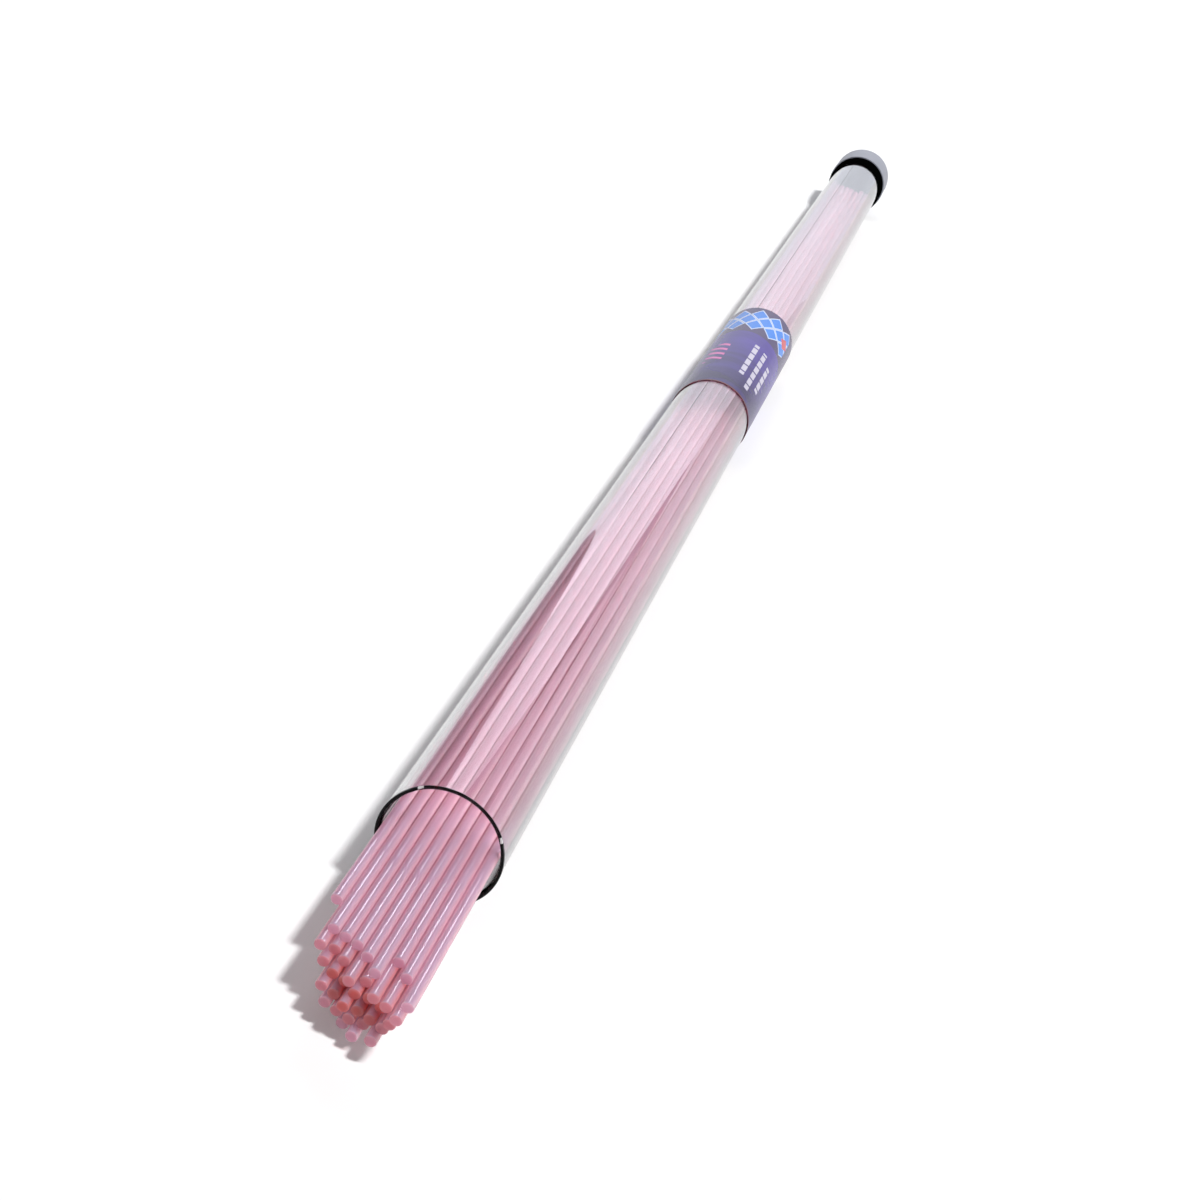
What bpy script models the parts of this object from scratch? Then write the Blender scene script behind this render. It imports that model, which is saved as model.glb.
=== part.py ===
"""A clear plastic tube of loose glass rods, lying on its side.

The tube runs along +Y with its open mouth towards -Y. The rods lie in it as a heap of nested rows and
stand out of the mouth. A push-on cap with a rubber ring closes the far end, a printed sleeve wraps the
tube, and a thin black edging covers the cut rim of the mouth. Lengths are in metres, +Z is up, and the
origin lies on the table under the middle of the object.
"""

from math import cos, pi, radians, sin, sqrt

import bmesh
import bpy

MM = 0.001

# Driving dimensions of the rods and of their heap
ROD_DIAMETER = 2.0 * MM
ROD_LENGTH = 610.0 * MM
ROD_EDGE_ROUND = 0.2 * MM
ROD_GAP = 0.3 * MM
ROD_TO_WALL_GAP = 0.15 * MM

# How far each rod stands out of the mouth, in millimetres: rows from the lowest pair up, left to right
STAND_OUTS = (
    (38, 40),
    (37, 38, 39, 39, 42),
    (36, 37, 39, 39, 40, 41),
    (33, 35, 36, 38, 38, 39, 42),
    (32, 32, 34, 38, 37, 40, 41, 43),
    (23, 30, 31, 32, 34, 37, 33, 36, 42),
)

# Driving dimensions of the tube and of the pieces that go on it
TUBE_WALL = 0.7 * MM
TUBE_END_ROOM = 9.0 * MM
SEAT_GAP = 0.2 * MM

EDGING_PROUD = 0.15 * MM
EDGING_THICKNESS = 0.7 * MM

LABEL_FROM_MOUTH = 236.0 * MM
LABEL_LENGTH = 83.0 * MM
LABEL_THICKNESS = 0.15 * MM
LABEL_GAP = 0.1 * MM

SEAL_LENGTH = 11.0 * MM
SEAL_WALL = 0.85 * MM
SEAL_LIP_WALL = 0.35 * MM
SEAL_TAPER_LENGTH = 4.0 * MM

CAP_SKIRT = 19.0 * MM
CAP_WALL = 1.3 * MM
CAP_END_THICKNESS = 1.6 * MM
CAP_CORNER_RADIUS = 1.2 * MM

# Facets of the round pieces, and the fine limits that the modelling tools need
TUBE_SIDES = 64
ROD_SIDES = 16
CORNER_STEPS = 4
EDGE_STEPS = 1
MERGE_DISTANCE = 0.01 * MM
SHARP_ANGLE = radians(40.0)

# The heap: rods of one row lie a pitch apart, and each row nests in the grooves of the row below it
ROD_RADIUS = ROD_DIAMETER / 2.0
ROD_PITCH = ROD_DIAMETER + ROD_GAP
ROW_RISE = ROD_PITCH * sqrt(3.0) / 2.0
LOWEST_HALF_WIDTH = (len(STAND_OUTS[0]) - 1) / 2.0 * ROD_PITCH
TOP_HALF_WIDTH = (len(STAND_OUTS[-1]) - 1) / 2.0 * ROD_PITCH
HEAP_HEIGHT = (len(STAND_OUTS) - 1) * ROW_RISE

# The bore is the circle that the lowest pair and the two ends of the top row lie against
AXIS_ABOVE_LOWEST = (TOP_HALF_WIDTH**2 - LOWEST_HALF_WIDTH**2 + HEAP_HEIGHT**2) / (2.0 * HEAP_HEIGHT)
HEAP_RADIUS = sqrt(AXIS_ABOVE_LOWEST**2 + LOWEST_HALF_WIDTH**2)
BORE_RADIUS = HEAP_RADIUS + ROD_RADIUS + ROD_TO_WALL_GAP
TUBE_RADIUS = BORE_RADIUS + TUBE_WALL
TUBE_LENGTH = ROD_LENGTH + TUBE_END_ROOM

# Places along the tube, counted from the mouth, and the pieces that fit on its outside
SEAT_RADIUS = TUBE_RADIUS + SEAT_GAP
CAP_RADIUS = SEAT_RADIUS + CAP_WALL
CAP_INNER_END = TUBE_LENGTH + SEAT_GAP
CAP_OUTER_END = CAP_INNER_END + CAP_END_THICKNESS
CAP_MOUTH = CAP_INNER_END - CAP_SKIRT
SEAL_BACK = CAP_MOUTH - SEAT_GAP
SEAL_FRONT = SEAL_BACK - SEAL_LENGTH

# The object rests on a facet of the cap, and the origin is under the middle of its whole length
LONGEST_STAND_OUT = max(max(row) for row in STAND_OUTS) * MM
REST_HEIGHT = CAP_RADIUS * cos(pi / TUBE_SIDES)
MOUTH_PLACE = (LONGEST_STAND_OUT - CAP_OUTER_END) / 2.0
ALONG_TUBE = (-pi / 2.0, 0.0, 0.0)


def clear_scene():
    """Removes whatever the file holds."""
    for item in list(bpy.data.objects):
        bpy.data.objects.remove(item, do_unlink=True)


def make_material(name, colour, roughness, transmission=0.0, ior=1.45):
    """Makes one finish from a linear colour."""
    material = bpy.data.materials.new(name)
    material.use_nodes = True
    shader = material.node_tree.nodes["Principled BSDF"]
    shader.inputs["Base Color"].default_value = (*colour, 1.0)
    shader.inputs["Roughness"].default_value = roughness
    shader.inputs["Metallic"].default_value = 0.0
    shader.inputs["Transmission Weight"].default_value = transmission
    shader.inputs["IOR"].default_value = ior
    return material


def add_object(name, mesh, material, collection, parent, place):
    """Adds a mesh whose own Z axis lies along the tube, at a place counted from the mouth's centre."""
    item = bpy.data.objects.new(name, mesh)
    item.parent = parent
    item.location = place
    item.rotation_euler = ALONG_TUBE
    if not mesh.materials:
        mesh.materials.append(material)
    collection.objects.link(item)
    return item


def settle_mesh(item):
    """Keeps the shape that the modifiers give, shaded smooth with crisp rims."""
    evaluated = item.evaluated_get(bpy.context.evaluated_depsgraph_get())
    mesh = bpy.data.meshes.new_from_object(evaluated)
    mesh.name = item.name
    mesh.shade_smooth()
    mesh.set_sharp_from_angle(angle=SHARP_ANGLE)
    item.modifiers.clear()
    item.data = mesh


def turned_piece(name, profile, closed, material, collection, parent):
    """Turns a profile of (radius, distance from the mouth) points, run down its outer side."""
    start = pi / TUBE_SIDES
    points = [(radius * cos(start), radius * sin(start), along) for radius, along in profile]
    edges = [(i, i + 1) for i in range(len(points) - 1)]
    if closed:
        edges.append((len(points) - 1, 0))
    mesh = bpy.data.meshes.new(name)
    mesh.from_pydata(points, edges, [])
    item = add_object(name, mesh, material, collection, parent, (0.0, 0.0, 0.0))
    screw = item.modifiers.new("turned", "SCREW")
    screw.axis = "Z"
    screw.angle = 2.0 * pi
    screw.steps = TUBE_SIDES
    screw.render_steps = TUBE_SIDES
    screw.use_merge_vertices = True
    screw.merge_threshold = MERGE_DISTANCE
    settle_mesh(item)
    return item


def corner(centre_radius, centre_along, size):
    """Gives the quarter round from a flat end at the top to the side below it."""
    turn = pi / 2.0 / CORNER_STEPS
    angles = [pi / 2.0 - i * turn for i in range(CORNER_STEPS + 1)]
    return [(centre_radius + size * cos(a), centre_along + size * sin(a)) for a in angles]


def make_tube(collection, parent):
    """Makes the extruded clear tube, cut square at both ends."""
    clear = make_material("clear_plastic", (0.93, 0.94, 0.96), 0.04, transmission=1.0, ior=1.49)
    profile = [
        (TUBE_RADIUS, TUBE_LENGTH),
        (TUBE_RADIUS, 0.0),
        (BORE_RADIUS, 0.0),
        (BORE_RADIUS, TUBE_LENGTH),
    ]
    turned_piece("tube", profile, True, clear, collection, parent)


def make_mouth_edging(collection, parent):
    """Makes the black edging on the cut rim of the mouth, rounded on its front."""
    black = make_material("black_edging", (0.006, 0.006, 0.007), 0.35)
    outer = TUBE_RADIUS + EDGING_PROUD
    middle = (outer + BORE_RADIUS) / 2.0
    half = (outer - BORE_RADIUS) / 2.0
    back = -SEAT_GAP
    round_depth = EDGING_THICKNESS / 2.0
    front = back - EDGING_THICKNESS + round_depth
    steps = 2 * CORNER_STEPS
    rounded = [
        (middle + half * cos(i * pi / steps), front - round_depth * sin(i * pi / steps))
        for i in range(steps + 1)
    ]
    profile = [(outer, back), *rounded, (BORE_RADIUS, back)]
    turned_piece("mouth_edging", profile, True, black, collection, parent)


def make_label(collection, parent):
    """Makes the printed film sleeve round the tube."""
    print_violet = make_material("printed_film", (0.13, 0.09, 0.27), 0.3)
    inner = TUBE_RADIUS + LABEL_GAP
    outer = inner + LABEL_THICKNESS
    far = LABEL_FROM_MOUTH + LABEL_LENGTH
    profile = [
        (outer, far),
        (outer, LABEL_FROM_MOUTH),
        (inner, LABEL_FROM_MOUTH),
        (inner, far),
    ]
    turned_piece("label_sleeve", profile, True, print_violet, collection, parent)


def make_seal(collection, parent):
    """Makes the rubber ring in front of the cap, tapered to a thin lip on the tube."""
    rubber = make_material("black_rubber", (0.005, 0.005, 0.006), 0.6)
    outer = SEAT_RADIUS + SEAL_WALL
    profile = [
        (outer, SEAL_BACK),
        (outer, SEAL_FRONT + SEAL_TAPER_LENGTH),
        (SEAT_RADIUS + SEAL_LIP_WALL, SEAL_FRONT),
        (SEAT_RADIUS, SEAL_FRONT),
        (SEAT_RADIUS, SEAL_BACK),
    ]
    turned_piece("seal_ring", profile, True, rubber, collection, parent)


def make_cap(collection, parent):
    """Makes the moulded cup that pushes over the far end of the tube."""
    moulded = make_material("grey_moulded_plastic", (0.56, 0.57, 0.59), 0.35, transmission=0.2)
    round_end = corner(CAP_RADIUS - CAP_CORNER_RADIUS, CAP_OUTER_END - CAP_CORNER_RADIUS, CAP_CORNER_RADIUS)
    profile = [
        (0.0, CAP_OUTER_END),
        *round_end,
        (CAP_RADIUS, CAP_MOUTH),
        (SEAT_RADIUS, CAP_MOUTH),
        (SEAT_RADIUS, CAP_INNER_END),
        (0.0, CAP_INNER_END),
    ]
    turned_piece("end_cap", profile, False, moulded, collection, parent)


def make_rod_mesh():
    """Makes the shape that every rod shares: a round rod from its near end, with softened cut ends."""
    shape = bmesh.new()
    bmesh.ops.create_cone(
        shape,
        cap_ends=True,
        segments=ROD_SIDES,
        radius1=ROD_RADIUS,
        radius2=ROD_RADIUS,
        depth=ROD_LENGTH,
    )
    bmesh.ops.translate(shape, verts=shape.verts, vec=(0.0, 0.0, ROD_LENGTH / 2.0))
    mesh = bpy.data.meshes.new("rod")
    shape.to_mesh(mesh)
    shape.free()
    return mesh


def make_rods(collection, parent):
    """Lays the rods in nested rows, numbered from the lowest row up and from left to right."""
    glass = make_material("opal_pink_glass", (0.74, 0.29, 0.36), 0.15, transmission=0.25, ior=1.47)
    mesh = make_rod_mesh()
    number = 0
    for row, stand_outs in enumerate(STAND_OUTS):
        height = row * ROW_RISE - AXIS_ABOVE_LOWEST
        middle = (len(stand_outs) - 1) / 2.0
        for place, stand_out in enumerate(stand_outs):
            number += 1
            across = (place - middle) * ROD_PITCH
            near_end = (across, -stand_out * MM, height)
            rod = add_object(f"rod_{number:02d}", mesh, glass, collection, parent, near_end)
            edge = rod.modifiers.new("softened ends", "BEVEL")
            edge.width = ROD_EDGE_ROUND
            edge.segments = EDGE_STEPS
            edge.limit_method = "ANGLE"
            edge.angle_limit = SHARP_ANGLE


clear_scene()
parts = bpy.data.collections.new("rod_tube")
bpy.context.scene.collection.children.link(parts)
mouth_centre = bpy.data.objects.new("mouth_centre", None)
mouth_centre.location = (0.0, MOUTH_PLACE, REST_HEIGHT)
parts.objects.link(mouth_centre)

make_tube(parts, mouth_centre)
make_mouth_edging(parts, mouth_centre)
make_label(parts, mouth_centre)
make_seal(parts, mouth_centre)
make_cap(parts, mouth_centre)
make_rods(parts, mouth_centre)
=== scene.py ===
"""Looks of a clear tube of loose glass rods, lying with its open mouth towards the camera."""

import math
import random

import bmesh
import bpy
from mathutils import Matrix, Vector


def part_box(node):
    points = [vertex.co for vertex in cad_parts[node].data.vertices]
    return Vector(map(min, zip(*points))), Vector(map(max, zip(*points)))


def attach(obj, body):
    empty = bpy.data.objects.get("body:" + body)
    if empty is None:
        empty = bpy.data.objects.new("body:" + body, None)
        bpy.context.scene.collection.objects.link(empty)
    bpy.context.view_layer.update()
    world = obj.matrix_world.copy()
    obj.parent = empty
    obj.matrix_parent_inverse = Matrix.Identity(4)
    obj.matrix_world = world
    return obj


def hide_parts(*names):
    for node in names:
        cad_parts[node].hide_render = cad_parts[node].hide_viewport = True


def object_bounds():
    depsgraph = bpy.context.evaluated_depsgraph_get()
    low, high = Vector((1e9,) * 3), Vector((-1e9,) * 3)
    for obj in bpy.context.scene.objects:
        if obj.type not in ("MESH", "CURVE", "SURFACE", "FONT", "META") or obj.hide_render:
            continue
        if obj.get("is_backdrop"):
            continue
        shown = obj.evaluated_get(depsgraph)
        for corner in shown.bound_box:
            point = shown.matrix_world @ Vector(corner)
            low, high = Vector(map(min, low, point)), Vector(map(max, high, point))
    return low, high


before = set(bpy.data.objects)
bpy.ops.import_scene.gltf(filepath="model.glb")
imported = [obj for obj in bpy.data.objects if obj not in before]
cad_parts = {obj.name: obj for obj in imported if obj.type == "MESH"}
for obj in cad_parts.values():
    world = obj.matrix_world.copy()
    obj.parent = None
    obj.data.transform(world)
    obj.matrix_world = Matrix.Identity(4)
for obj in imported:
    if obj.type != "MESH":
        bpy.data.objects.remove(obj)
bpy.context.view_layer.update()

# Tube: one length of clear cellulose butyrate pipe, extruded and sawn square at both ends.
# It lies on its side, and everything else is in it, on it or round it.
MM = 0.001
TUBE_WALL = 0.7 * MM
SAWN_EDGE_ROUND = 0.12 * MM
TUBE_SIDES = 160
ROUNDING_STEPS = 4
ROUNDING_MARGIN = 1.2
SHARP_EDGE = math.radians(50)
WELD_DISTANCE = 1e-7

tube_low, tube_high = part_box("tube")
axis = (tube_low + tube_high) / 2
tube_radius = (tube_high.x - tube_low.x) / 2
bore_radius = tube_radius - TUBE_WALL
mouth = tube_low.y


def linear(code):
    """A linear RGBA colour from an sRGB hex code such as #c898b1."""
    shares = [int(code[i : i + 2], 16) / 255 for i in (1, 3, 5)]
    return [s / 12.92 if s <= 0.04045 else ((s + 0.055) / 1.055) ** 2.4 for s in shares] + [1.0]


def node(tree, kind, inputs, **settings):
    """Adds a shader node: inputs are values or the sockets that feed them, settings are its own."""
    made = tree.nodes.new("ShaderNode" + kind)
    for name, value in settings.items():
        setattr(made, name, value)
    for name, value in inputs.items():
        if isinstance(value, bpy.types.NodeSocket):
            tree.links.new(value, made.inputs[name])
        else:
            made.inputs[name].default_value = value
    return made


def finish_named(name):
    """A new empty material and its node tree."""
    material = bpy.data.materials.new(name)
    material.use_nodes = True
    material.node_tree.nodes.clear()
    return material, material.node_tree


def eased(corners):
    """A closed outline from (radius, place, easing) corners, each rounded by its easing radius."""
    outline = []
    for k, (radius, place, easing) in enumerate(corners):
        here = Vector((radius, place))
        if easing == 0:
            outline.append(here)
            continue
        back = (Vector(corners[k - 1][:2]) - here).normalized()
        on = (Vector(corners[(k + 1) % len(corners)][:2]) - here).normalized()
        run = easing / math.tan(back.angle(on) / 2)
        # A point just before and just after the rounding keeps the flats beside it true.
        outline.append(here + back * run * ROUNDING_MARGIN)
        for step in range(ROUNDING_STEPS + 1):
            t = step / ROUNDING_STEPS
            outline.append(here + back * run * (1 - t) ** 2 + on * run * t**2)
        outline.append(here + on * run * ROUNDING_MARGIN)
    return outline


def piece_from(name, bm):
    """An object in the scene from a finished bmesh, smooth but for its true edges."""
    bmesh.ops.recalc_face_normals(bm, faces=bm.faces)
    mesh = bpy.data.meshes.new(name)
    bm.to_mesh(mesh)
    bm.free()
    mesh.shade_smooth()
    mesh.set_sharp_from_angle(angle=SHARP_EDGE)
    piece = bpy.data.objects.new(name, mesh)
    bpy.context.scene.collection.objects.link(piece)
    return piece


def turned(name, outline_at, sides):
    """A piece turned about the tube's axis, from its closed outline at each turn from the top."""
    bm = bmesh.new()
    rings = []
    for side in range(sides):
        turn = 2 * math.pi * side / sides
        out = Vector((math.sin(turn), 0, math.cos(turn)))
        ring = []
        for radius, place in outline_at(turn):
            ring.append(bm.verts.new(Vector((axis.x, place, axis.z)) + out * radius))
        rings.append(ring)
    for ring, after in zip(rings, rings[1:] + rings[:1]):
        for k in range(len(ring)):
            bm.faces.new((ring[k - 1], ring[k], after[k], after[k - 1]))
    bmesh.ops.remove_doubles(bm, verts=bm.verts, dist=WELD_DISTANCE)
    return piece_from(name, bm)


# Extruded butyrate: clear and glossy, with faint lines along it from the die, and dust on it.
# Its wall takes a little light, and grey shade is painted into its colour on its sides and where it
# is seen edge on.
# One hairline score from the die runs along its top, and comes in gently far from the mouth.
# The lines and the dust are drawn coarser than real ones, so that they show.
CLEAR_WALL = "#f9fafb"
SHADED_SIDE_WALL = "#d4d2d4"
CLEAR_ABOVE = 0.75
SIDE_SHADE_BELOW = 0.15
EDGE_ON_SHADE = "#7d7a7c"
EDGE_ON_FROM = 0.78
EDGE_ON_FULL = 0.9
WALL_DEPTHS = "#b8b9c0"
WALL_DENSITY = 120.0
DIE_LINE_SPACING = 1.11 * MM
DIE_LINE_LENGTH = 167 * MM
DIE_LINE_DEPTH = 0.05 * MM
DIE_LINE_STRENGTH = 0.15
DIE_SCORE = "#3a3238"
DIE_SCORE_X = -2.3 * MM
DIE_SCORE_WIDTH = 0.14 * MM
DIE_SCORE_FROM = 110 * MM
DIE_SCORE_FULL = 150 * MM
DUST_SPACING = 11.1 * MM
DUST_RADIUS = 0.31 * MM
POLISHED = 0.02
DUSTY = 0.5
LAMPS_TO_RODS = "#d8d8d8"
LAMPS_TO_TABLE = "#585858"

butyrate, tree = finish_named("extruded_butyrate")
place = node(tree, "TexCoord", {}).outputs["Object"]
line_scale = (1 / DIE_LINE_SPACING, 1 / DIE_LINE_LENGTH, 1 / DIE_LINE_SPACING)
along_lines = node(tree, "Mapping", {"Vector": place, "Scale": line_scale}).outputs[0]
die_lines = node(
    tree, "TexNoise", {"Vector": along_lines, "Scale": 1.0, "Detail": 2.0}
).outputs["Fac"]
lines_bump = node(
    tree,
    "Bump",
    {"Height": die_lines, "Strength": DIE_LINE_STRENGTH, "Distance": DIE_LINE_DEPTH},
).outputs["Normal"]
specks = node(
    tree, "TexVoronoi", {"Vector": place, "Scale": 1 / DUST_SPACING}, feature="F1"
).outputs["Distance"]
dust = node(
    tree, "Math", {0: specks, 1: DUST_RADIUS / DUST_SPACING}, operation="LESS_THAN"
).outputs[0]
roughness = node(
    tree, "MapRange", {"Value": dust, "To Min": POLISHED, "To Max": DUSTY}
).outputs["Result"]
from_axis = node(tree, "VectorMath", {0: place, 1: axis}, operation="SUBTRACT").outputs[0]
ways = node(tree, "SeparateXYZ", {"Vector": from_axis}).outputs
across = node(
    tree, "VectorMath", {0: from_axis, 1: (1, 0, 1)}, operation="MULTIPLY"
).outputs[0]
spread = node(tree, "VectorMath", {0: across}, operation="LENGTH").outputs["Value"]
# The tube's round counts from 1 at its top to 0 half way down, and its sides are painted greyer
# there as shade.
height = node(tree, "Math", {0: ways["Z"], 1: spread}, operation="DIVIDE").outputs[0]
painted_side_shade = node(
    tree, "MapRange", {"Value": height, "From Min": CLEAR_ABOVE, "From Max": SIDE_SHADE_BELOW}
).outputs["Result"]
wall_colour = node(
    tree,
    "Mix",
    {"Factor": painted_side_shade, "A": linear(CLEAR_WALL), "B": linear(SHADED_SIDE_WALL)},
    data_type="RGBA",
).outputs["Result"]
# Painted shade: the wall's colour turns grey where it is seen edge on.
facing = node(tree, "LayerWeight", {"Blend": 0.5}).outputs["Facing"]
painted_edge_on_shade = node(
    tree, "MapRange", {"Value": facing, "From Min": EDGE_ON_FROM, "From Max": EDGE_ON_FULL}
).outputs["Result"]
wall_colour = node(
    tree,
    "Mix",
    {"Factor": painted_edge_on_shade, "A": wall_colour, "B": linear(EDGE_ON_SHADE)},
    data_type="RGBA",
).outputs["Result"]
scored = node(
    tree, "Math", {0: ways["X"], 1: DIE_SCORE_X, 2: DIE_SCORE_WIDTH / 2}, operation="COMPARE"
).outputs[0]
deepening = node(
    tree,
    "MapRange",
    {
        "Value": ways["Y"],
        "From Min": mouth - axis.y + DIE_SCORE_FROM,
        "From Max": mouth - axis.y + DIE_SCORE_FULL,
        "To Max": scored,
    },
).outputs["Result"]
wall_colour = node(
    tree,
    "Mix",
    {"Factor": deepening, "A": wall_colour, "B": linear(DIE_SCORE)},
    data_type="RGBA",
).outputs["Result"]
clear = node(
    tree,
    "BsdfPrincipled",
    {
        "Base Color": wall_colour,
        "Roughness": roughness,
        "IOR": 1.475,
        "Transmission Weight": 1.0,
        "Normal": lines_bump,
    },
).outputs[0]
# The lamps reach the rods through one wall. What reaches the table from above has to cross
# the whole tube, from outside to outside, so more is held back there and the tube has a shadow.
outer = node(
    tree, "Math", {0: spread, 1: tube_radius - TUBE_WALL / 2}, operation="GREATER_THAN"
).outputs[0]
from_within = node(tree, "NewGeometry", {}).outputs["Backfacing"]
from_outside = node(
    tree, "Math", {0: outer, 1: from_within}, operation="SUBTRACT", use_clamp=True
).outputs[0]
passing = node(
    tree,
    "Mix",
    {"Factor": from_outside, "A": linear(LAMPS_TO_RODS), "B": linear(LAMPS_TO_TABLE)},
    data_type="RGBA",
).outputs["Result"]
let_through = node(tree, "BsdfTransparent", {"Color": passing}).outputs[0]
to_lamp = node(tree, "LightPath", {}).outputs["Is Shadow Ray"]
both = node(tree, "MixShader", {0: to_lamp, 1: clear, 2: let_through}).outputs[0]
depths = node(
    tree, "VolumeAbsorption", {"Color": linear(WALL_DEPTHS), "Density": WALL_DENSITY}
).outputs[0]
node(tree, "OutputMaterial", {"Surface": both, "Volume": depths})

tube_section = eased(
    [
        (tube_radius, tube_low.y, SAWN_EDGE_ROUND),
        (tube_radius, tube_high.y, SAWN_EDGE_ROUND),
        (bore_radius, tube_high.y, SAWN_EDGE_ROUND),
        (bore_radius, tube_low.y, SAWN_EDGE_ROUND),
    ]
)
tube = turned("clear_tube", lambda turn: tube_section, TUBE_SIDES)
tube.data.materials.append(butyrate)
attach(tube, "tube")
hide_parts("tube")

# Mouth edging: a bead of black vinyl on the sawn rim of the open mouth, so that it cuts no one.
# It is dipped on and stands a hair proud.
# A stretch of it is rubbed thin, and a small glint is painted as a pale spot at each end of that
# stretch.
EDGING_ROUND = 0.12 * MM
EDGING_SIDES = 120
THIN_SHARE = 0.38
FULL_SHARE = 0.62
GLINT_PLACES = (math.radians(-25), math.radians(65))
GLINT_HALF = math.radians(2.5)
THICKENS_OVER = 4 * GLINT_HALF

edging_low, edging_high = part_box("mouth_edging")
edging_radius = (edging_high.x - edging_low.x) / 2

# Soft vinyl: near black and glossy, with two small glints painted on it as pale spots.
VINYL_BLACK = "#070708"
PAINTED_GLINT = "#d9d8d8"
RUB_SPACING = 1.43 * MM
LEAST_RUBBED = 0.3
MOST_RUBBED = 0.7
SMOOTH_VINYL = 0.12
RUBBED_VINYL = 0.4

vinyl, tree = finish_named("black_vinyl")
place = node(tree, "TexCoord", {}).outputs["Object"]
rubs = node(
    tree, "TexNoise", {"Vector": place, "Scale": 1 / RUB_SPACING, "Detail": 3.0}
).outputs["Fac"]
roughness = node(
    tree,
    "MapRange",
    {
        "Value": rubs,
        "From Min": LEAST_RUBBED,
        "From Max": MOST_RUBBED,
        "To Min": SMOOTH_VINYL,
        "To Max": RUBBED_VINYL,
    },
).outputs["Result"]
from_axis = node(tree, "VectorMath", {0: place, 1: axis}, operation="SUBTRACT").outputs[0]
ways = node(tree, "SeparateXYZ", {0: from_axis}).outputs
turn = node(tree, "Math", {0: ways["X"], 1: ways["Z"]}, operation="ARCTAN2").outputs[0]
# Painted highlight: two pale spots at these turns stand for glints on the bead.
painted_glint = [
    node(tree, "Math", {0: turn, 1: glint_turn, 2: GLINT_HALF}, operation="COMPARE").outputs[0]
    for glint_turn in GLINT_PLACES
]
painted_glint = node(tree, "Math", {0: painted_glint[0], 1: painted_glint[1]}, operation="ADD").outputs[0]
colour = node(
    tree,
    "Mix",
    {"Factor": painted_glint, "A": linear(VINYL_BLACK), "B": linear(PAINTED_GLINT)},
    data_type="RGBA",
).outputs["Result"]
bead = node(
    tree,
    "BsdfPrincipled",
    {"Base Color": colour, "Roughness": roughness, "IOR": 1.53, "Specular IOR Level": 0.1},
).outputs[0]
node(tree, "OutputMaterial", {"Surface": bead})


def bead_section(turn):
    """The bead's outline: thin between the two painted glints, and full past them."""
    from_thin = (turn - sum(GLINT_PLACES) / 2 + math.pi) % (2 * math.pi) - math.pi
    past = abs(from_thin) - (GLINT_PLACES[1] - GLINT_PLACES[0]) / 2 + GLINT_HALF
    full = min(1.0, max(0.0, past / THICKENS_OVER))
    inward = THIN_SHARE + (FULL_SHARE - THIN_SHARE) * full
    inner = edging_radius - inward * (edging_radius - bore_radius)
    forward = THIN_SHARE + (1 - THIN_SHARE) * full
    front = edging_high.y - forward * (edging_high.y - edging_low.y)
    return eased(
        [
            (edging_radius, front, EDGING_ROUND),
            (edging_radius, edging_high.y, EDGING_ROUND),
            (inner, edging_high.y, EDGING_ROUND),
            (inner, front, EDGING_ROUND),
        ]
    )


edging = turned("vinyl_edging", bead_section, EDGING_SIDES)
edging.data.materials.append(vinyl)
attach(edging, "tube")
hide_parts("mouth_edging")

# Label: a sleeve of printed polyester film, wrapped once round the tube near its middle.
# Plum and violet fields carry a plain design of lozenges, hatching and broken rules.
FILM_THICKNESS = 0.15 * MM
LABEL_SIDES = 120

label_low, label_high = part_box("label_sleeve")
label_radius = (label_high.x - label_low.x) / 2

# Printed film: flat inks under a clear gloss face, which mirrors the lights along the tube.
# Its print is laid out in millimetres: round the tube from its top, along it from the near edge.
PLUM = "#281d45"
VIOLET = "#4a3596"
VIOLET_FROM = 8.0
VIOLET_FULL = 50.0
LEAST_VIOLET = -0.25
MOST_VIOLET = 0.4
CLOUD_WIDTH = 16.7 * MM
CLOUD_LENGTH = 5.56 * MM
ALL_ROUND = 40.0
BAND_INK = "#40325f"
BAND_MIDDLE = 69.0
BAND_HALF = 14.5
LOZENGE_PITCH = 6.0
LOZENGE_ROWS = ((63.0, 0.0), (69.0, 3.0), (75.0, 0.0))
LOZENGE_INKS = (("#c3d3f2", 5.9, 11.8), ("#2f7fdf", 4.9, 9.8))
LOZENGES_MIDDLE = -3.0
LOZENGES_HALF = 17.0
RED_LOZENGE = ("#c9474f", 4.6, 9.0)
RED_MIDDLE = 12.0
RED_HALF = 2.5
HATCH_INK = "#dc6fb4"
HATCH_SLANT = 0.8
HATCH_PITCH = 5.0
HATCH_LINE = 2.0
HATCH_PATCH = (-6.0, 3.0, 31.0, 9.0)
RULE_INK = "#c4bfd0"
RULE_HALF = 0.8
RULES = ((4.5, 30.0, 15.0), (8.0, 26.0, 18.0), (11.5, 27.0, 12.0))
DASH_PITCH = 6.0
DASH_GAP = 1.0
NEAR_EDGE_SHADE = "#5e1c28"
NEAR_EDGE_LINE = 0.9
LAMPS_THROUGH_FILM = "#d6c8d2"

film, tree = finish_named("printed_polyester_film")
place = node(tree, "TexCoord", {}).outputs["Object"]
from_edge = node(
    tree, "VectorMath", {0: place, 1: (axis.x, label_low.y, axis.z)}, operation="SUBTRACT"
).outputs[0]
ways = node(tree, "SeparateXYZ", {0: from_edge}).outputs
turn = node(tree, "Math", {0: ways["X"], 1: ways["Z"]}, operation="ARCTAN2").outputs[0]
around = node(tree, "Math", {0: turn, 1: label_radius / MM}, operation="MULTIPLY").outputs[0]
along = node(tree, "Math", {0: ways["Y"], 1: 1 / MM}, operation="MULTIPLY").outputs[0]


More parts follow.
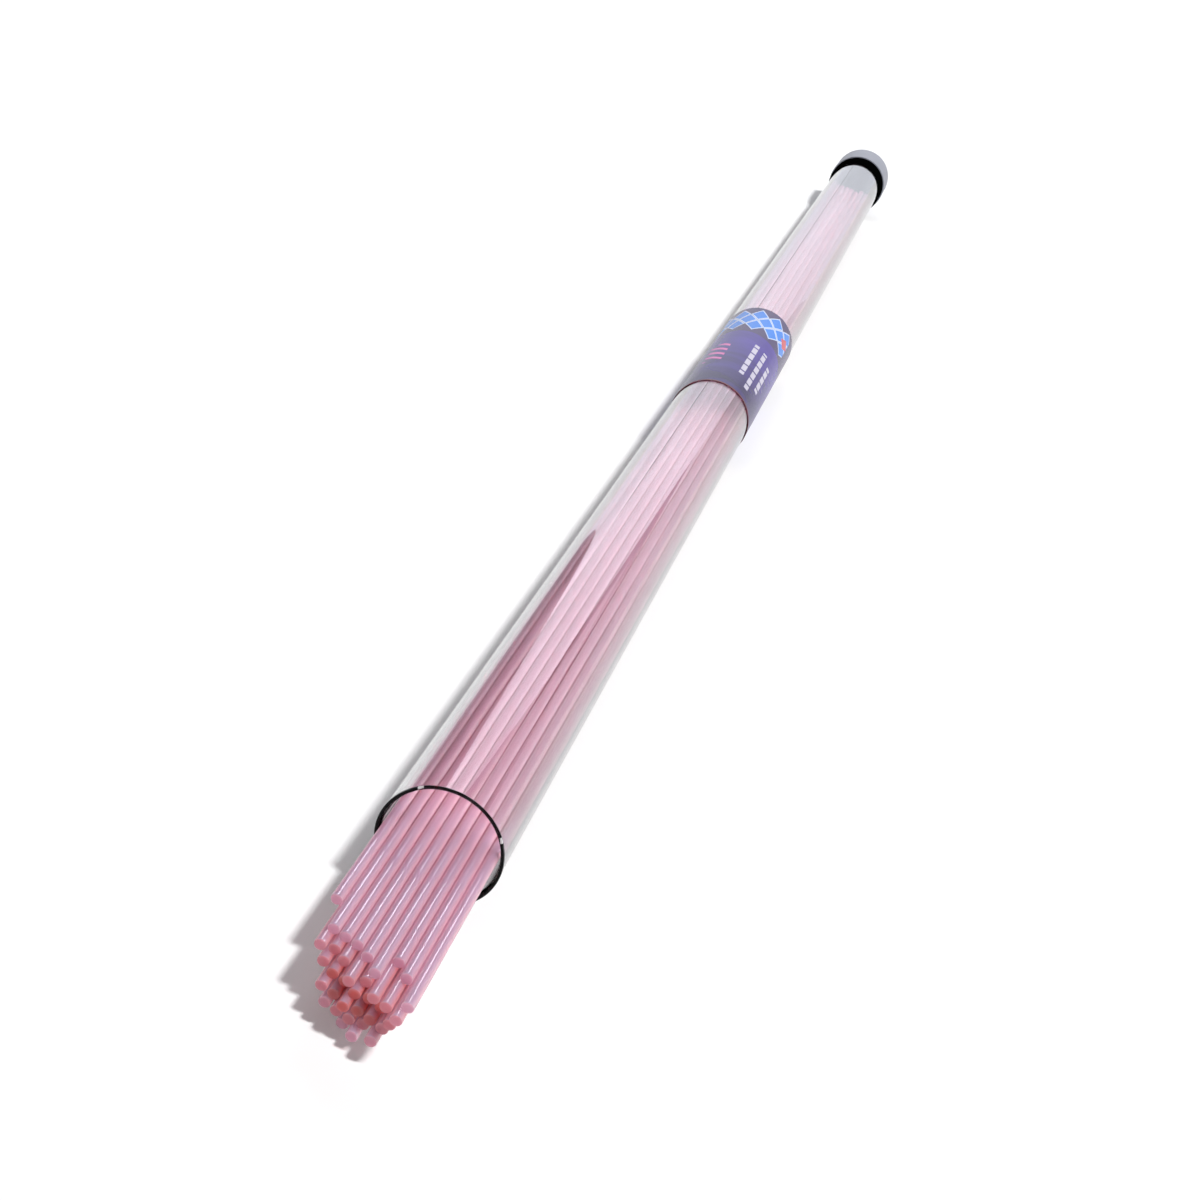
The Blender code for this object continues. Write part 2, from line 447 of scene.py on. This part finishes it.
def inked(under, colour, *masks):
    """The print so far with one more ink laid where every mask is 1."""
    mask = masks[0]
    for more in masks[1:]:
        mask = node(tree, "Math", {0: mask, 1: more}, operation="MULTIPLY").outputs[0]
    return node(
        tree, "Mix", {"Factor": mask, "A": under, "B": linear(colour)}, data_type="RGBA"
    ).outputs["Result"]


def patch(around_middle, around_half, along_middle, along_half):
    """A mask of one oblong of the print, from its middle and half its width each way."""
    mask = 1.0
    for way, middle, half in (
        (around, around_middle, around_half),
        (along, along_middle, along_half),
    ):
        strip = node(tree, "Math", {0: way, 1: middle, 2: half}, operation="COMPARE").outputs[0]
        mask = node(tree, "Math", {0: mask, 1: strip}, operation="MULTIPLY").outputs[0]
    return mask


def lozenges(start, row, width, height):
    """A mask of one row of lozenges round the tube."""
    across = node(tree, "Math", {0: around, 1: start}, operation="ADD").outputs[0]
    across = node(
        tree, "Math", {0: across, 1: LOZENGE_PITCH / 2}, operation="PINGPONG"
    ).outputs[0]
    across = node(tree, "Math", {0: across, 1: 2 / width}, operation="MULTIPLY").outputs[0]
    up = node(tree, "Math", {0: along, 1: row}, operation="SUBTRACT").outputs[0]
    up = node(tree, "Math", {0: up}, operation="ABSOLUTE").outputs[0]
    reach = node(
        tree, "Math", {0: up, 1: 2 / height, 2: across}, operation="MULTIPLY_ADD"
    ).outputs[0]
    return node(tree, "Math", {0: reach, 1: 1.0}, operation="LESS_THAN").outputs[0]


cloud_scale = (1 / CLOUD_WIDTH, 1 / CLOUD_LENGTH, 1 / CLOUD_WIDTH)
streaky = node(tree, "Mapping", {"Vector": place, "Scale": cloud_scale}).outputs[0]
clouds = node(
    tree, "TexNoise", {"Vector": streaky, "Scale": 1.0, "Detail": 3.0}
).outputs["Fac"]
paling = node(
    tree,
    "MapRange",
    {
        "Value": along,
        "From Min": VIOLET_FROM,
        "From Max": VIOLET_FULL,
        "To Min": LEAST_VIOLET,
        "To Max": MOST_VIOLET,
    },
).outputs["Result"]
paling = node(tree, "Math", {0: clouds, 1: paling}, operation="ADD", use_clamp=True).outputs[0]
printed = node(
    tree,
    "Mix",
    {"Factor": paling, "A": linear(PLUM), "B": linear(VIOLET)},
    data_type="RGBA",
).outputs["Result"]
printed = inked(printed, BAND_INK, patch(0.0, ALL_ROUND, BAND_MIDDLE, BAND_HALF))
lozenge_patch = patch(LOZENGES_MIDDLE, LOZENGES_HALF, BAND_MIDDLE, BAND_HALF)
for row, start in LOZENGE_ROWS:
    for ink, width, height in LOZENGE_INKS:
        printed = inked(printed, ink, lozenges(start, row, width, height), lozenge_patch)
red_ink, red_width, red_height = RED_LOZENGE
printed = inked(
    printed,
    red_ink,
    lozenges(0.0, BAND_MIDDLE, red_width, red_height),
    patch(RED_MIDDLE, RED_HALF, BAND_MIDDLE, BAND_HALF),
)
slant = node(
    tree, "Math", {0: around, 1: HATCH_SLANT, 2: along}, operation="MULTIPLY_ADD"
).outputs[0]
hatch = node(tree, "Math", {0: slant, 1: HATCH_PITCH / 2}, operation="PINGPONG").outputs[0]
hatch = node(tree, "Math", {0: hatch, 1: HATCH_LINE / 2}, operation="LESS_THAN").outputs[0]
printed = inked(printed, HATCH_INK, hatch, patch(*HATCH_PATCH))
dash = node(tree, "Math", {0: along, 1: DASH_PITCH / 2}, operation="PINGPONG").outputs[0]
dash = node(tree, "Math", {0: dash, 1: DASH_GAP / 2}, operation="GREATER_THAN").outputs[0]
for rule_place, rule_middle, rule_reach in RULES:
    rule = patch(rule_place, RULE_HALF, rule_middle, rule_reach)
    printed = inked(printed, RULE_INK, dash, rule)
# Painted shade: a dark line along the film's near edge.
printed = inked(printed, NEAR_EDGE_SHADE, patch(0.0, ALL_ROUND, 0.0, NEAR_EDGE_LINE))
face = node(
    tree,
    "BsdfPrincipled",
    {"Base Color": printed, "Roughness": 0.26, "IOR": 1.5, "Specular IOR Level": 0.15},
).outputs[0]
# The lamps reach the rods under the film too, dimmed less than real print would dim them.
let_through = node(tree, "BsdfTransparent", {"Color": linear(LAMPS_THROUGH_FILM)}).outputs[0]
to_lamp = node(tree, "LightPath", {}).outputs["Is Shadow Ray"]
both = node(tree, "MixShader", {0: to_lamp, 1: face, 2: let_through}).outputs[0]
node(tree, "OutputMaterial", {"Surface": both})

label_section = [
    (label_radius, label_low.y),
    (label_radius, label_high.y),
    (label_radius - FILM_THICKNESS, label_high.y),
    (label_radius - FILM_THICKNESS, label_low.y),
]
label = turned("printed_label", lambda turn: label_section, LABEL_SIDES)
label.data.materials.append(film)
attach(label, "tube")
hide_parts("label_sleeve")

# Rods: opal glass drawn to 2 mm and cut to one length, lying loose on each other in the tube.
# Each wanders a little from straight, is cut a little off square, and has its own shade.
ROD_SIDES = 24
ROD_STATIONS = 40
CUT_EDGE_ROUND = 0.2 * MM
CUT_EDGE_STEPS = 3
CUT_EDGE_MARGIN = 1.3
CUT_FACE_RINGS = (0.15, 0.6)
CUT_LEAN = math.radians(4)
LEAN_REACH = 4
WANDER = 0.035 * MM
WANDER_LENGTHS = (430 * MM, 270 * MM)
BURIED_DEPTH = 3.6 * MM
MOST_SHADE = 0.5
ROD_SEED = 37

# Drawn opal glass: milky pink with a glassy skin. Light from above comes back mauve and pale.
# Light that has gone through the glass comes out salmon red, and that glow is painted into the
# colour: on the flanks, in the gaps, at the cut ends.
# In the tube most light has been through other rods, and that rosier cast is painted into the
# colour there.
# The painted cast and the painted redness of buried rods are set from each rod's place at rest, and
# stay with it.
THIN_MAUVE = "#b3a1bc"
MILKY_MAUVE = "#bbafc9"
STREAK_SPACING = 1.43 * MM
STREAK_LENGTH = 71.4 * MM
STREAK_SHARE = 0.5
PAINTED_ROSY_CAST = "#eab6b8"
ROSY_FROM = -8 * MM
ROSY_FULL = 12 * MM
OPEN_GLOW_AND_TRANSLUCENCY = "#f0d0db"
BURIED_GLOW_AND_TRANSLUCENCY = "#ea9f9e"
FLANK_FROM = 0.95
FLANK_FULL = 0.45
OPEN_END = "#c086a2"
PAINTED_BURIED_END_GLOW = "#c04e4c"
PAINTED_RIM_LIGHT = "#eab4c0"
END_RIM_SHARE = 0.2
CUT_FROM = 0.55
CUT_FULL = 0.9
FIRE_POLISHED = 0.025
CUT_ROUGH = 0.38
THROUGH_SHARE = 0.45
LAMP_DEPTH = 4.5 * MM
LAMPS_THROUGH_GLASS = "#dfd6d6"
LAMPS_STOPPED = "#000000"

opal, tree = finish_named("drawn_opal_glass")
coords = node(tree, "TexCoord", {}).outputs
shade = node(tree, "Attribute", {}, attribute_name="shade").outputs["Fac"]
buried = node(tree, "Attribute", {}, attribute_name="buried").outputs["Fac"]
rim = node(tree, "Attribute", {}, attribute_name="rim").outputs["Fac"]
streak_scale = (1 / STREAK_SPACING, 1 / STREAK_LENGTH, 1 / STREAK_SPACING)
drawn_way = node(
    tree, "Mapping", {"Vector": coords["Object"], "Scale": streak_scale}
).outputs[0]
streaks = node(
    tree, "TexNoise", {"Vector": drawn_way, "Scale": 1.0, "Detail": 2.0}
).outputs["Fac"]
milk = node(
    tree, "Math", {0: streaks, 1: STREAK_SHARE, 2: shade}, operation="MULTIPLY_ADD"
).outputs[0]
mauve = node(
    tree,
    "Mix",
    {"Factor": milk, "A": linear(THIN_MAUVE), "B": linear(MILKY_MAUVE)},
    data_type="RGBA",
).outputs["Result"]
lengthways = node(tree, "SeparateXYZ", {0: coords["Object"]}).outputs["Y"]
# Painted light: a rosier cast past the mouth, where the rod lies in the tube at rest.
painted_tube_cast = node(
    tree,
    "MapRange",
    {"Value": lengthways, "From Min": mouth + ROSY_FROM, "From Max": mouth + ROSY_FULL},
).outputs["Result"]
mauve = node(
    tree,
    "Mix",
    {"Factor": painted_tube_cast, "A": mauve, "B": linear(PAINTED_ROSY_CAST)},
    data_type="RGBA",
    blend_type="MULTIPLY",
).outputs["Result"]
# Painted glow: salmon, redder on buried rods, which the translucent shader also takes as its
# colour.
glow_and_translucency = node(
    tree,
    "Mix",
    {"Factor": buried, "A": linear(OPEN_GLOW_AND_TRANSLUCENCY), "B": linear(BURIED_GLOW_AND_TRANSLUCENCY)},
    data_type="RGBA",
).outputs["Result"]
faces = node(tree, "SeparateXYZ", {0: coords["Normal"]}).outputs
# The flanks and undersides get the painted glow.
painted_flank_glow = node(
    tree, "MapRange", {"Value": faces["Z"], "From Min": FLANK_FROM, "From Max": FLANK_FULL}
).outputs["Result"]
side = node(
    tree, "Mix", {"Factor": painted_flank_glow, "A": mauve, "B": glow_and_translucency}, data_type="RGBA"
).outputs["Result"]
# Painted glow on the cut ends, redder on buried rods, with a painted lighter rim.
painted_end_glow = node(
    tree,
    "Mix",
    {"Factor": buried, "A": linear(OPEN_END), "B": linear(PAINTED_BURIED_END_GLOW)},
    data_type="RGBA",
).outputs["Result"]
rim = node(tree, "Math", {0: rim, 1: END_RIM_SHARE}, operation="MULTIPLY").outputs[0]
painted_end_glow = node(
    tree, "Mix", {"Factor": rim, "A": painted_end_glow, "B": linear(PAINTED_RIM_LIGHT)}, data_type="RGBA"
).outputs["Result"]
facing_out = node(tree, "Math", {0: faces["Y"]}, operation="ABSOLUTE").outputs[0]
cut = node(
    tree, "MapRange", {"Value": facing_out, "From Min": CUT_FROM, "From Max": CUT_FULL}
).outputs["Result"]
colour = node(
    tree, "Mix", {"Factor": cut, "A": side, "B": painted_end_glow}, data_type="RGBA"
).outputs["Result"]
roughness = node(
    tree, "MapRange", {"Value": cut, "To Min": FIRE_POLISHED, "To Max": CUT_ROUGH}
).outputs["Result"]
glass = node(
    tree,
    "BsdfPrincipled",
    {
        "Base Color": colour,
        "Roughness": roughness,
        "IOR": 1.52,
        "Specular IOR Level": 0.9,
        "Subsurface Weight": 1.0,
        "Subsurface Radius": (1.0, 0.6, 0.6),
        "Subsurface Scale": 2.0 * MM,
    },
    subsurface_method="BURLEY",
).outputs[0]
through = node(tree, "BsdfTranslucent", {"Color": glow_and_translucency}).outputs[0]
glass = node(tree, "MixShader", {0: THROUGH_SHARE, 1: glass, 2: through}).outputs[0]
# The lamps light a rod through its next neighbours, and what lies deeper is in shadow.
path = node(tree, "LightPath", {}).outputs
shallow = node(
    tree, "Math", {0: path["Ray Length"], 1: LAMP_DEPTH}, operation="LESS_THAN"
).outputs[0]
filtered = node(
    tree,
    "Mix",
    {"Factor": shallow, "A": linear(LAMPS_STOPPED), "B": linear(LAMPS_THROUGH_GLASS)},
    data_type="RGBA",
).outputs["Result"]
let_through = node(tree, "BsdfTransparent", {"Color": filtered}).outputs[0]
both = node(tree, "MixShader", {0: path["Is Shadow Ray"], 1: glass, 2: let_through}).outputs[0]
node(tree, "OutputMaterial", {"Surface": both})


def rod_stations(length, radius):
    """(distance from the near end, radius) for each ring of a rod with rounded cut edges."""
    eased_end = [(0.0, share * (radius - CUT_EDGE_ROUND)) for share in CUT_FACE_RINGS]
    for step in range(CUT_EDGE_STEPS + 1):
        turn = math.pi / 2 * step / CUT_EDGE_STEPS
        inset = radius - CUT_EDGE_ROUND * (1 - math.sin(turn))
        eased_end.append((CUT_EDGE_ROUND * (1 - math.cos(turn)), inset))
    eased_end.append((CUT_EDGE_MARGIN * CUT_EDGE_ROUND, radius))
    run = [(length * k / ROD_STATIONS, radius) for k in range(1, ROD_STATIONS)]
    far_end = [(length - distance, inset) for distance, inset in reversed(eased_end)]
    return eased_end + run + far_end


rod_names = sorted(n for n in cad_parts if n.startswith("rod_"))
heap_top = max(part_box(n)[1].z for n in rod_names)
drawn = random.Random(ROD_SEED)
for name in rod_names:
    low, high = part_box(name)
    middle = (low + high) / 2
    radius = (high.z - low.z) / 2
    length = high.y - low.y
    # Two waves sway a rod sideways and two up and down.
    starts = [drawn.uniform(0, 2 * math.pi) for _ in range(4)]
    leans = [(drawn.uniform(0, CUT_LEAN), drawn.uniform(0, 2 * math.pi)) for _ in range(2)]
    bm = bmesh.new()
    rings = []
    for distance, inset in rod_stations(length, radius):
        waves = []
        for k, start in enumerate(starts):
            turns = distance / WANDER_LENGTHS[k % 2]
            waves.append(WANDER / 2 * math.sin(2 * math.pi * turns + start))
        lean, lean_way = leans[0] if distance < length / 2 else leans[1]
        at_end = max(0.0, 1 - min(distance, length - distance) / (LEAN_REACH * radius))
        inward = 1 if distance < length / 2 else -1
        ring = []
        for k in range(ROD_SIDES):
            turn = 2 * math.pi * k / ROD_SIDES
            slope = at_end * inward * math.tan(lean) * inset * (1 + math.cos(turn - lean_way))
            ring.append(
                bm.verts.new(
                    (
                        middle.x + waves[0] + waves[1] + inset * math.sin(turn),
                        low.y + distance + slope,
                        middle.z + waves[2] + waves[3] + inset * math.cos(turn),
                    )
                )
            )
        rings.append(ring)
    for ring, after in zip(rings, rings[1:]):
        for k in range(ROD_SIDES):
            bm.faces.new((ring[k - 1], ring[k], after[k], after[k - 1]))
    bm.faces.new(rings[0])
    bm.faces.new(rings[-1])
    rod = piece_from("glass_" + name, bm)
    off_axis = math.hypot(middle.x - axis.x, middle.z - axis.z)
    under = min(heap_top - high.z, bore_radius - off_axis - radius)
    count = len(rod.data.vertices)
    cut_face = len(CUT_FACE_RINGS) * ROD_SIDES
    # The buried share sets how much painted red glow a rod's flanks and ends get.
    for look, values in (
        ("shade", [drawn.uniform(0.0, MOST_SHADE)] * count),
        ("buried", [min(1.0, max(0.0, under / BURIED_DEPTH))] * count),
        ("rim", [float(cut_face <= k < count - cut_face) for k in range(count)]),
    ):
        held = rod.data.attributes.new(look, "FLOAT", "POINT")
        held.data.foreach_set("value", values)
    rod.data.materials.append(opal)
    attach(rod, name)
    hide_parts(name)

# Seal ring: black moulded rubber, stretched over the tube in front of the cap.
# Its lip tapers down to the tube, and its back face is what the cap's rim sits against.
SEAL_LIP = 0.35 * MM
SEAL_TAPER = 4.0 * MM
SEAL_ROUND = 0.15 * MM
SEAL_SEAT_GAP = 0.2 * MM
SEAL_SIDES = 120

seal_low, seal_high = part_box("seal_ring")
seal_radius = (seal_high.x - seal_low.x) / 2
seal_bore = tube_radius + SEAL_SEAT_GAP

# Moulded rubber: deep black and matt, with a fine bloom that is drawn coarse enough to show.
RUBBER_BLACK = "#030303"
BLOOM_SPACING = 1.11 * MM
BLOOM_HEIGHT = 0.05 * MM
BLOOM_STRENGTH = 0.2
BARE_RUBBER = 0.45
BLOOMED_RUBBER = 0.75

rubber, tree = finish_named("moulded_rubber")
place = node(tree, "TexCoord", {}).outputs["Object"]
bloom = node(
    tree, "TexNoise", {"Vector": place, "Scale": 1 / BLOOM_SPACING, "Detail": 4.0}
).outputs["Fac"]
roughness = node(
    tree, "MapRange", {"Value": bloom, "To Min": BARE_RUBBER, "To Max": BLOOMED_RUBBER}
).outputs["Result"]
bumps = node(
    tree, "Bump", {"Height": bloom, "Strength": BLOOM_STRENGTH, "Distance": BLOOM_HEIGHT}
).outputs["Normal"]
black = node(
    tree,
    "BsdfPrincipled",
    {
        "Base Color": linear(RUBBER_BLACK),
        "Roughness": roughness,
        "IOR": 1.5,
        "Specular IOR Level": 0.0,
        "Normal": bumps,
    },
).outputs[0]
node(tree, "OutputMaterial", {"Surface": black})

seal_section = eased(
    [
        (seal_bore + SEAL_LIP, seal_low.y, SEAL_ROUND),
        (seal_radius, seal_low.y + SEAL_TAPER, SEAL_ROUND),
        (seal_radius, seal_high.y, SEAL_ROUND),
        (seal_bore, seal_high.y, 0),
        (seal_bore, seal_low.y, 0),
    ]
)
seal = turned("rubber_seal", lambda turn: seal_section, SEAL_SIDES)
seal.data.materials.append(rubber)
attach(seal, "end_cap")
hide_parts("seal_ring")

# End cap: moulded grey polyethylene, pushed over the far end of the tube up to the seal ring.
# Its skirt grips the tube, and its flat end stops the rods.
CAP_WALL = 1.3 * MM
CAP_END = 1.6 * MM
CAP_CORNER = 1.2 * MM
CAP_RIM_ROUND = 0.3 * MM
CAP_SIDES = 120

cap_low, cap_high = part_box("end_cap")
cap_radius = (cap_high.x - cap_low.x) / 2

# Moulded polyethylene: milky grey and satin, and a little light comes through its wall.
CAP_GREY = "#797b86"
PALE_CAP_GREY = "#8a8c97"
FLOW_SPACING = 9.09 * MM
PEEL_SPACING = 0.667 * MM
PEEL_HEIGHT = 0.05 * MM
PEEL_STRENGTH = 0.15

polyethylene, tree = finish_named("moulded_polyethylene")
place = node(tree, "TexCoord", {}).outputs["Object"]
flow = node(
    tree, "TexNoise", {"Vector": place, "Scale": 1 / FLOW_SPACING, "Detail": 3.0}
).outputs["Fac"]
grey = node(
    tree,
    "Mix",
    {"Factor": flow, "A": linear(CAP_GREY), "B": linear(PALE_CAP_GREY)},
    data_type="RGBA",
).outputs["Result"]
peel = node(
    tree, "TexNoise", {"Vector": place, "Scale": 1 / PEEL_SPACING, "Detail": 2.0}
).outputs["Fac"]
skin = node(
    tree, "Bump", {"Height": peel, "Strength": PEEL_STRENGTH, "Distance": PEEL_HEIGHT}
).outputs["Normal"]
waxy = node(
    tree,
    "BsdfPrincipled",
    {
        "Base Color": grey,
        "Roughness": 0.42,
        "IOR": 1.51,
        "Subsurface Weight": 0.4,
        "Subsurface Radius": (1.0, 1.0, 1.0),
        "Subsurface Scale": 0.8 * MM,
        "Normal": skin,
    },
).outputs[0]
node(tree, "OutputMaterial", {"Surface": waxy})

cap_section = eased(
    [
        (cap_radius, cap_low.y, CAP_RIM_ROUND),
        (cap_radius, cap_high.y, CAP_CORNER),
        (0, cap_high.y, 0),
        (0, cap_high.y - CAP_END, 0),
        (cap_radius - CAP_WALL, cap_high.y - CAP_END, CAP_RIM_ROUND),
        (cap_radius - CAP_WALL, cap_low.y, CAP_RIM_ROUND),
    ]
)
cap = turned("moulded_cap", lambda turn: cap_section, CAP_SIDES)
cap.data.materials.append(polyethylene)
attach(cap, "end_cap")
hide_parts("end_cap")

# Floor: a plain white studio table, which keeps the soft shadow of the tube.
# A faint glow of its own, for looking rays alone, brings it up to white.
FLOOR_SIZE = 12.0
FLOOR_WHITE = "#f3f3f3"
FLOOR_GLOW = 0.11


def looking_rays(tree, path):
    """At least 1 for a ray that looks straight, in a mirror or through glass, and 0 for others."""
    mirrored = node(
        tree, "Math", {0: path["Is Camera Ray"], 1: path["Is Glossy Ray"]}, operation="ADD"
    ).outputs[0]
    return node(
        tree, "Math", {0: mirrored, 1: path["Is Transmission Ray"]}, operation="ADD"
    ).outputs[0]


bm = bmesh.new()
bmesh.ops.create_grid(bm, x_segments=1, y_segments=1, size=FLOOR_SIZE / 2)
floor = piece_from("white_table", bm)
laminate, tree = finish_named("white_laminate")
matt = node(tree, "BsdfDiffuse", {"Color": linear(FLOOR_WHITE)}).outputs[0]
looking = looking_rays(tree, node(tree, "LightPath", {}).outputs)
lift = node(tree, "MapRange", {"Value": looking, "To Max": FLOOR_GLOW}).outputs["Result"]
glow = node(tree, "Emission", {"Color": linear("#ffffff"), "Strength": lift}).outputs[0]
white = node(tree, "AddShader", {0: matt, 1: glow}).outputs[0]
node(tree, "OutputMaterial", {"Surface": white})
floor.data.materials.append(laminate)
floor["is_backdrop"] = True

# Studio light: a far key lamp to the right of the camera, and soft fill from all round.
# Behind the tube stand a lit card and two pale walls to its right, before a black drape.
# The tube and the rods mirror these as pale bands with dark spikes between them.
KEY_AWAY = 8.0
KEY_WAY = Vector((0.5, -0.25, 1.0))
KEY_SIZE = 0.8
KEY_WATTS = 580.0
FILL = 0.16
WHITE_SKY = 1.0
CARD_BACK = 2.0
CARD_CORNERS = (
    (-0.92, 0.0),
    (0.47, 0.0),
    (0.47, 1.08),
    (0.31, 1.3),
    (0.0, 1.55),
    (0.0, 1.85),
    (-0.42, 1.85),
    (-0.6, 1.5),
)
CARD_COLOUR = "#eef1fa"
CARD_BRIGHTNESS = (1.35, 1.9, 12.0)
LOW_WALL_CORNERS = ((0.47, 0.0), (2.4, 0.0), (2.4, 1.15), (0.47, 0.58))
HIGH_WALL_CORNERS = ((0.56, 0.72), (2.4, 1.28), (2.4, 1.85), (0.56, 1.85))
WALL_COLOUR = "#f3f3fb"
LOW_WALL_BRIGHTNESS = (1.0, 1.0, 1.0)
HIGH_WALL_BRIGHTNESS = (0.8, 0.8, 0.8)
DRAPE_BACK = 2.05
DRAPE_CORNERS = ((-2.4, 0.0), (2.4, 0.0), (2.4, 4.0), (-2.4, 4.0))
DRAPE_BRIGHTNESS = (0.1, 0.1, 0.1)
FOOT_HEIGHTS = (0.3, 0.7)
TOP_HEIGHTS = (1.45, 1.55)

key = bpy.data.objects.new("key", bpy.data.lights.new("key", "AREA"))
key.data.size = KEY_SIZE
key.data.energy = KEY_WATTS
key.location = Vector((0, mouth, axis.z)) + KEY_WAY.normalized() * KEY_AWAY
key.rotation_euler = KEY_WAY.to_track_quat("Z", "Y").to_euler()
key.visible_camera = False
bpy.context.scene.collection.objects.link(key)


def board(name, back, corners, colour, brightness):
    """A flat board behind the tube, with its brightness at foot, middle and top."""
    foot, middle, top = brightness
    bm = bmesh.new()
    bm.faces.new([bm.verts.new((x, mouth + back, z)) for x, z in corners])
    made = piece_from(name, bm)
    made.visible_camera = False
    made.visible_shadow = False
    paper, tree = finish_named(name + "_paper")
    place = node(tree, "TexCoord", {}).outputs["Object"]
    height = node(tree, "SeparateXYZ", {0: place}).outputs["Z"]
    light = foot
    for (start, end), brighter in ((FOOT_HEIGHTS, middle), (TOP_HEIGHTS, top)):
        light = node(
            tree,
            "MapRange",
            {
                "Value": height,
                "From Min": start,
                "From Max": end,
                "To Min": light,
                "To Max": brighter,
            },
        ).outputs["Result"]
    glow = node(tree, "Emission", {"Color": linear(colour), "Strength": light}).outputs[0]
    node(tree, "OutputMaterial", {"Surface": glow})
    made.data.materials.append(paper)
    made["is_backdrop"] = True
    return made


board("lit_card", CARD_BACK, CARD_CORNERS, CARD_COLOUR, CARD_BRIGHTNESS)
board("low_wall", CARD_BACK, LOW_WALL_CORNERS, WALL_COLOUR, LOW_WALL_BRIGHTNESS)
board("high_wall", CARD_BACK, HIGH_WALL_CORNERS, WALL_COLOUR, HIGH_WALL_BRIGHTNESS)
drape = board("black_drape", DRAPE_BACK, DRAPE_CORNERS, WALL_COLOUR, DRAPE_BRIGHTNESS)
# The drape shows in gloss and through glass, and keeps no light from the table behind it.
drape.visible_diffuse = False

world = bpy.data.worlds.new("studio")
bpy.context.scene.world = world
world.use_nodes = True
tree = world.node_tree
tree.nodes.clear()
path = node(tree, "LightPath", {}).outputs
# Light that has scattered through a rod counts as transmitted too, so diffuse rays are taken out.
looking = looking_rays(tree, path)
looking = node(
    tree, "Math", {0: looking, 1: path["Is Diffuse Ray"]}, operation="SUBTRACT"
).outputs[0]
light = node(
    tree, "MapRange", {"Value": looking, "To Min": FILL, "To Max": WHITE_SKY}
).outputs["Result"]
sky = node(tree, "Background", {"Color": linear("#ffffff"), "Strength": light}).outputs[0]
node(tree, "OutputWorld", {"Surface": sky})

# Camera: in front of the mouth, above it and to the right, looking down along the tube.
# Its place, turn and lens are fitted to the tube's outlines, the mouth, the label and the cap.
CAMERA_FROM_MOUTH = Vector((55.92, -241.57, 168.68)) * MM
CAMERA_YAW = math.radians(8.994)
CAMERA_PITCH = math.radians(-25.676)
CAMERA_ROLL = math.radians(11.857)
LENS_MM = 53.996
SENSOR_MM = 36.0
NEAREST_SEEN = 10 * MM

camera = bpy.data.objects.new("camera", bpy.data.cameras.new("camera"))
camera.data.lens = LENS_MM
camera.data.sensor_width = SENSOR_MM
camera.data.clip_start = NEAREST_SEEN
camera_place = Vector((axis.x, mouth, axis.z)) + CAMERA_FROM_MOUTH
camera_turn = (
    Matrix.Rotation(CAMERA_YAW, 4, "Z")
    @ Matrix.Rotation(math.pi / 2 + CAMERA_PITCH, 4, "X")
    @ Matrix.Rotation(CAMERA_ROLL, 4, "Z")
)
camera.matrix_world = Matrix.Translation(camera_place) @ camera_turn
bpy.context.scene.collection.objects.link(camera)
bpy.context.scene.camera = camera
bpy.context.scene.view_settings.view_transform = "Standard"

low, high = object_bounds()
